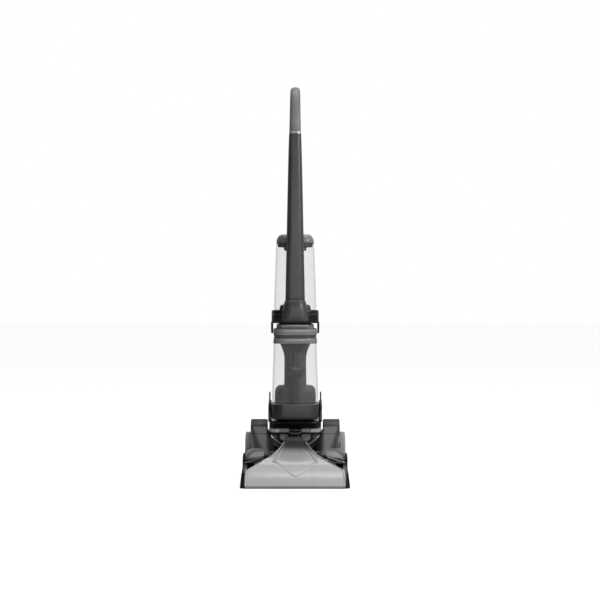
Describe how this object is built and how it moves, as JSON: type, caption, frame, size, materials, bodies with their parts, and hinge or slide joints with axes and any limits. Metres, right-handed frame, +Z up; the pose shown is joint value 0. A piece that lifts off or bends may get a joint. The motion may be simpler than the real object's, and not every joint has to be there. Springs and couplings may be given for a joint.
{
  "type": "carpet cleaner machine",
  "caption": "Upright carpet washer: floor head with brush roll and clear suction nozzle, reclining body with clean and dirty water tanks, long handle with loop grip.",
  "frame": {"origin": "on the floor, under the middle of the machine's bounding box", "axes": "+Z up, the front of the floor head faces -Y, +X is the viewer's right when facing the front"},
  "size_m": [0.3, 0.36, 1.12],
  "materials": {
    "black_plastic": "fine-textured moulded ABS",
    "graphite_plastic": "satin moulded ABS",
    "grip_plastic": "fine-textured moulded ABS",
    "silver_plastic": "metallic-flake moulded ABS",
    "smoke_window": "moulded smoke-tinted clear plastic",
    "clear_plastic": "moulded clear plastic",
    "smoke_plastic": "moulded smoke-tinted plastic",
    "tyre_rubber": "moulded grey rubber",
    "seal_rubber": "black rubber",
    "lip_rubber": "soft grey rubber",
    "bristle": "nylon bristle",
    "steel": "plain steel",
    "motor_steel": "zinc-plated steel and aluminium"
  },
  "bodies": {
    "foot": {"foot_base": "black_plastic", "brush_hood": "black_plastic", "deck_cover": "silver_plastic", "pivot_arm_left": "graphite_plastic", "pivot_arm_right": "graphite_plastic", "knuckle_cap_left": "silver_plastic", "knuckle_cap_right": "silver_plastic", "pivot_pin_left": "steel", "pivot_pin_right": "steel", "nozzle_duct": "black_plastic", "spray_bar": "black_plastic", "brush_motor": "motor_steel", "drive_belt": "seal_rubber", "brush_bearing_left": "black_plastic", "brush_bearing_right": "black_plastic", "rear_axle": "steel", "water_pump": "black_plastic"},
    "pedal": {"recline_pedal": "black_plastic"},
    "motor_drive": {"motor_pulley": "steel"},
    "brush": {"brush_roll": "bristle", "brush_pulley": "graphite_plastic"},
    "wheel_left": {"wheel_hub_left": "silver_plastic", "wheel_tyre_left": "tyre_rubber"},
    "wheel_right": {"wheel_hub_right": "silver_plastic", "wheel_tyre_right": "tyre_rubber"},
    "nozzle": {"nozzle_window": "smoke_window", "nozzle_rear_plate": "black_plastic", "nozzle_lip": "lip_rubber"},
    "nozzle_catch": {"nozzle_latch": "black_plastic"},
    "upper_body": {"suction_hose": "seal_rubber", "neck_drum": "silver_plastic", "inlet_elbow": "black_plastic", "cradle": "black_plastic", "motor_housing": "graphite_plastic", "vacuum_motor": "motor_steel", "cord_gland": "seal_rubber", "column": "graphite_plastic", "water_line": "seal_rubber", "collar": "black_plastic", "handle_socket": "graphite_plastic", "stick": "graphite_plastic", "grip": "grip_plastic", "trigger_pin": "steel", "cord_hook_lower": "black_plastic"},
    "fan": {"impeller": "motor_steel"},
    "power_switch": {"power_button": "grip_plastic"},
    "spray_trigger": {"trigger": "black_plastic"},
    "swivel_hook": {"cord_hook_upper": "black_plastic"},
    "dirty_tank": {"dirty_tank_tray": "black_plastic", "dirty_tank_shell": "clear_plastic", "inlet_tube": "smoke_plastic", "tank_lid": "smoke_plastic", "lid_seal": "seal_rubber"},
    "float_valve": {"tank_float": "smoke_plastic"},
    "tank_release": {"tank_release_bar": "silver_plastic"},
    "clean_tank": {"clean_tank_shell": "clear_plastic", "clean_tank_cap": "graphite_plastic", "clean_tank_valve": "graphite_plastic", "fill_cap": "black_plastic"}
  },
  "joints": [
    {"name": "body_recline", "type": "hinge", "parent": "foot", "child": "upper_body", "pos_m": [0, 0.06, 0.12], "axis": [-1, 0, 0], "range_deg": [0, 55], "deforming": ["suction_hose"]},
    {"name": "brush_spin", "type": "hinge", "parent": "foot", "child": "brush", "pos_m": [0, -0.124, 0.032], "axis": [1, 0, 0], "continuous": true},
    {"name": "motor_spin", "type": "hinge", "parent": "foot", "child": "motor_drive", "pos_m": [-0.1165, -0.04, 0.037], "axis": [1, 0, 0], "continuous": true},
    {"name": "wheel_left_spin", "type": "hinge", "parent": "foot", "child": "wheel_left", "pos_m": [0.136, 0.115, 0.065], "axis": [1, 0, 0], "continuous": true},
    {"name": "wheel_right_spin", "type": "hinge", "parent": "foot", "child": "wheel_right", "pos_m": [-0.136, 0.115, 0.065], "axis": [1, 0, 0], "continuous": true},
    {"name": "nozzle_lift", "type": "slide", "parent": "foot", "child": "nozzle", "axis": [0, -0.7659, 0.6429], "range_m": [0, 0.12]},
    {"name": "nozzle_latch_slide", "type": "slide", "parent": "foot", "child": "nozzle_catch", "axis": [0, 0.8638, 0.5039], "range_m": [0, 0.002], "stiffness_N_per_m": 400, "springref_m": -0.001},
    {"name": "pedal_press", "type": "hinge", "parent": "foot", "child": "pedal", "pos_m": [-0.054, 0.145, 0.059], "axis": [-1, 0, 0], "range_deg": [0, 8], "stiffness_Nm_per_rad": 1.2, "springref_deg": -2.86},
    {"name": "fan_spin", "type": "hinge", "parent": "upper_body", "child": "fan", "pos_m": [0, 0.085, 0.232], "axis": [0, 0, 1], "continuous": true},
    {"name": "power_button_press", "type": "slide", "parent": "upper_body", "child": "power_switch", "axis": [0, -1, 0], "range_m": [0, 0.0025], "stiffness_N_per_m": 500, "springref_m": -0.001},
    {"name": "trigger_pull", "type": "hinge", "parent": "upper_body", "child": "spray_trigger", "pos_m": [0, 0.064, 1.094], "axis": [-1, 0, 0], "range_deg": [0, 8], "stiffness_Nm_per_rad": 0.8, "springref_deg": -2.86},
    {"name": "hook_swivel", "type": "hinge", "parent": "upper_body", "child": "swivel_hook", "pos_m": [0, -0.03, 0.884], "axis": [0, 1, 0], "range_deg": [0, 180]},
    {"name": "dirty_tank_slide", "type": "slide", "parent": "upper_body", "child": "dirty_tank", "axis": [0, -1, 0], "range_m": [0, 0.15]},
    {"name": "float_rise", "type": "slide", "parent": "dirty_tank", "child": "float_valve", "axis": [0, 0, 1], "range_m": [0, 0.04]},
    {"name": "tank_release_press", "type": "slide", "parent": "dirty_tank", "child": "tank_release", "axis": [0, 1, 0], "range_m": [0, 0.0035], "stiffness_N_per_m": 400, "springref_m": -0.001},
    {"name": "clean_tank_lift", "type": "slide", "parent": "upper_body", "child": "clean_tank", "axis": [0, 0.7071, 0.7071], "range_m": [0, 0.2]}
  ],
  "couplings": [
    {"joint": "motor_spin", "follows": "brush_spin", "ratio": 1.75}
  ]
}
